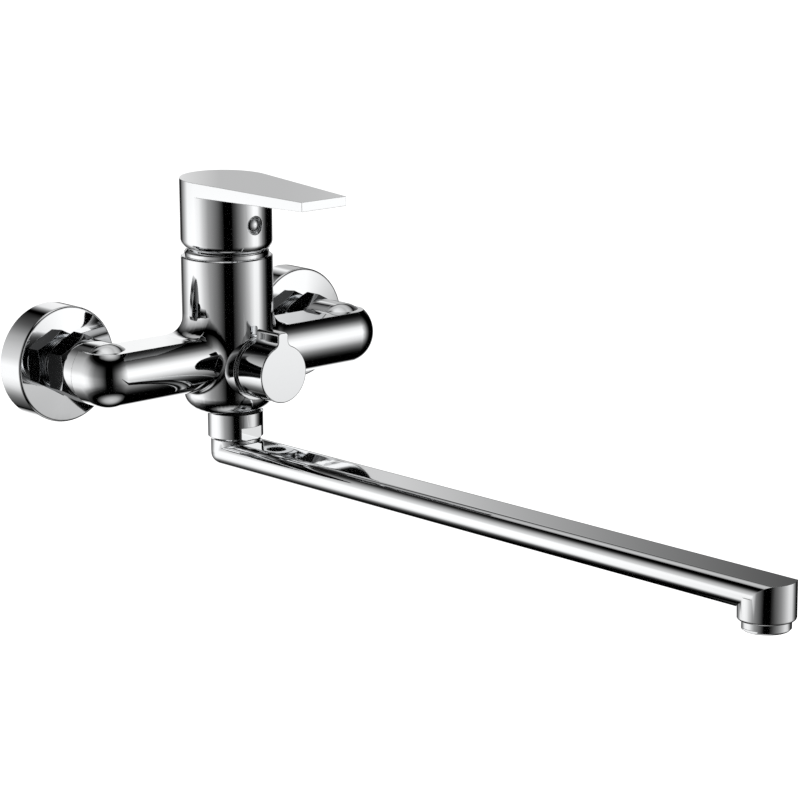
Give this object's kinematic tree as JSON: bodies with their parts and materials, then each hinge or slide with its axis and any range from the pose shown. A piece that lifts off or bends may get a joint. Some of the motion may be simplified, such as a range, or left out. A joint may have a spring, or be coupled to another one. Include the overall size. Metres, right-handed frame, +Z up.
{
  "type": "bath mixer tap",
  "caption": "Wall-mounted single-lever bath mixer with a front diverter knob, a long flat swivel spout and round wall roses.",
  "frame": {"origin": "on the wall plane, midway between the two wall threads", "axes": "+X to the right for someone facing the wall, +Y into the wall, +Z up"},
  "size_m": [0.2076, 0.4312, 0.1536],
  "materials": {
    "chrome": "polished chrome plate on cast brass",
    "nut_chrome": "polished chrome plate on turned brass",
    "brass": "turned brass",
    "steel": "machined stainless steel",
    "rubber": "moulded black rubber",
    "plastic": "moulded white plastic",
    "ceramic": "lapped white ceramic"
  },
  "bodies": {
    "tap": {"mixer_body": "chrome", "wall_rose_left": "chrome", "wall_rose_right": "chrome", "dome_cover": "chrome", "spout_collar": "chrome", "union_nut_left": "nut_chrome", "union_nut_right": "nut_chrome", "eccentric_union_left": "nut_chrome", "eccentric_union_right": "nut_chrome", "inlet_tail_left": "nut_chrome", "inlet_tail_right": "nut_chrome", "shower_nipple": "nut_chrome", "cartridge_nut": "brass", "diverter_gland": "brass", "inlet_gasket_left": "rubber", "inlet_gasket_right": "rubber", "port_seal_left": "rubber", "port_seal_right": "rubber", "port_seal_outlet": "rubber", "spindle_o_ring": "rubber", "collar_gasket": "rubber", "cartridge_base": "plastic", "cartridge_housing": "plastic", "fixed_disc": "ceramic"},
    "rotor": {"cartridge_rotor": "plastic", "stem_pivot_pin": "steel"},
    "lever": {"lever_stem": "steel", "lever_handle": "chrome", "lever_grub_screw": "steel", "lever_plug": "chrome"},
    "disc": {"moving_disc": "ceramic", "disc_carrier": "plastic"},
    "diverter": {"diverter_knob": "chrome", "diverter_spindle": "brass"},
    "spout": {"spout": "chrome", "spout_o_ring_lower": "rubber", "spout_o_ring_upper": "rubber", "spout_clip": "steel", "aerator_ring": "chrome", "aerator_insert": "plastic", "aerator_gasket": "rubber"}
  },
  "joints": [
    {"name": "handle_turn", "type": "hinge", "parent": "tap", "child": "rotor", "pos_m": [0, -0.0487, 0.028], "axis": [0, 0, 1], "range_deg": [-45, 45]},
    {"name": "handle_lift", "type": "hinge", "parent": "rotor", "child": "lever", "pos_m": [0, -0.0487, 0.028], "axis": [-1, 0, 0], "range_deg": [0, 22]},
    {"name": "disc_slide", "type": "slide", "parent": "rotor", "child": "disc", "axis": [0, -1, 0], "range_m": [0, 0.0047]},
    {"name": "diverter_turn", "type": "hinge", "parent": "tap", "child": "diverter", "pos_m": [0, -0.072, -0.0125], "axis": [0, 1, 0], "range_deg": [0, 90]},
    {"name": "spout_swivel", "type": "hinge", "parent": "tap", "child": "spout", "pos_m": [0, -0.0533, -0.043], "axis": [0, 0, 1], "range_deg": [-90, 90]}
  ],
  "couplings": [
    {"joint": "disc_slide", "follows": "handle_lift", "m_per_rad": 0.012}
  ]
}
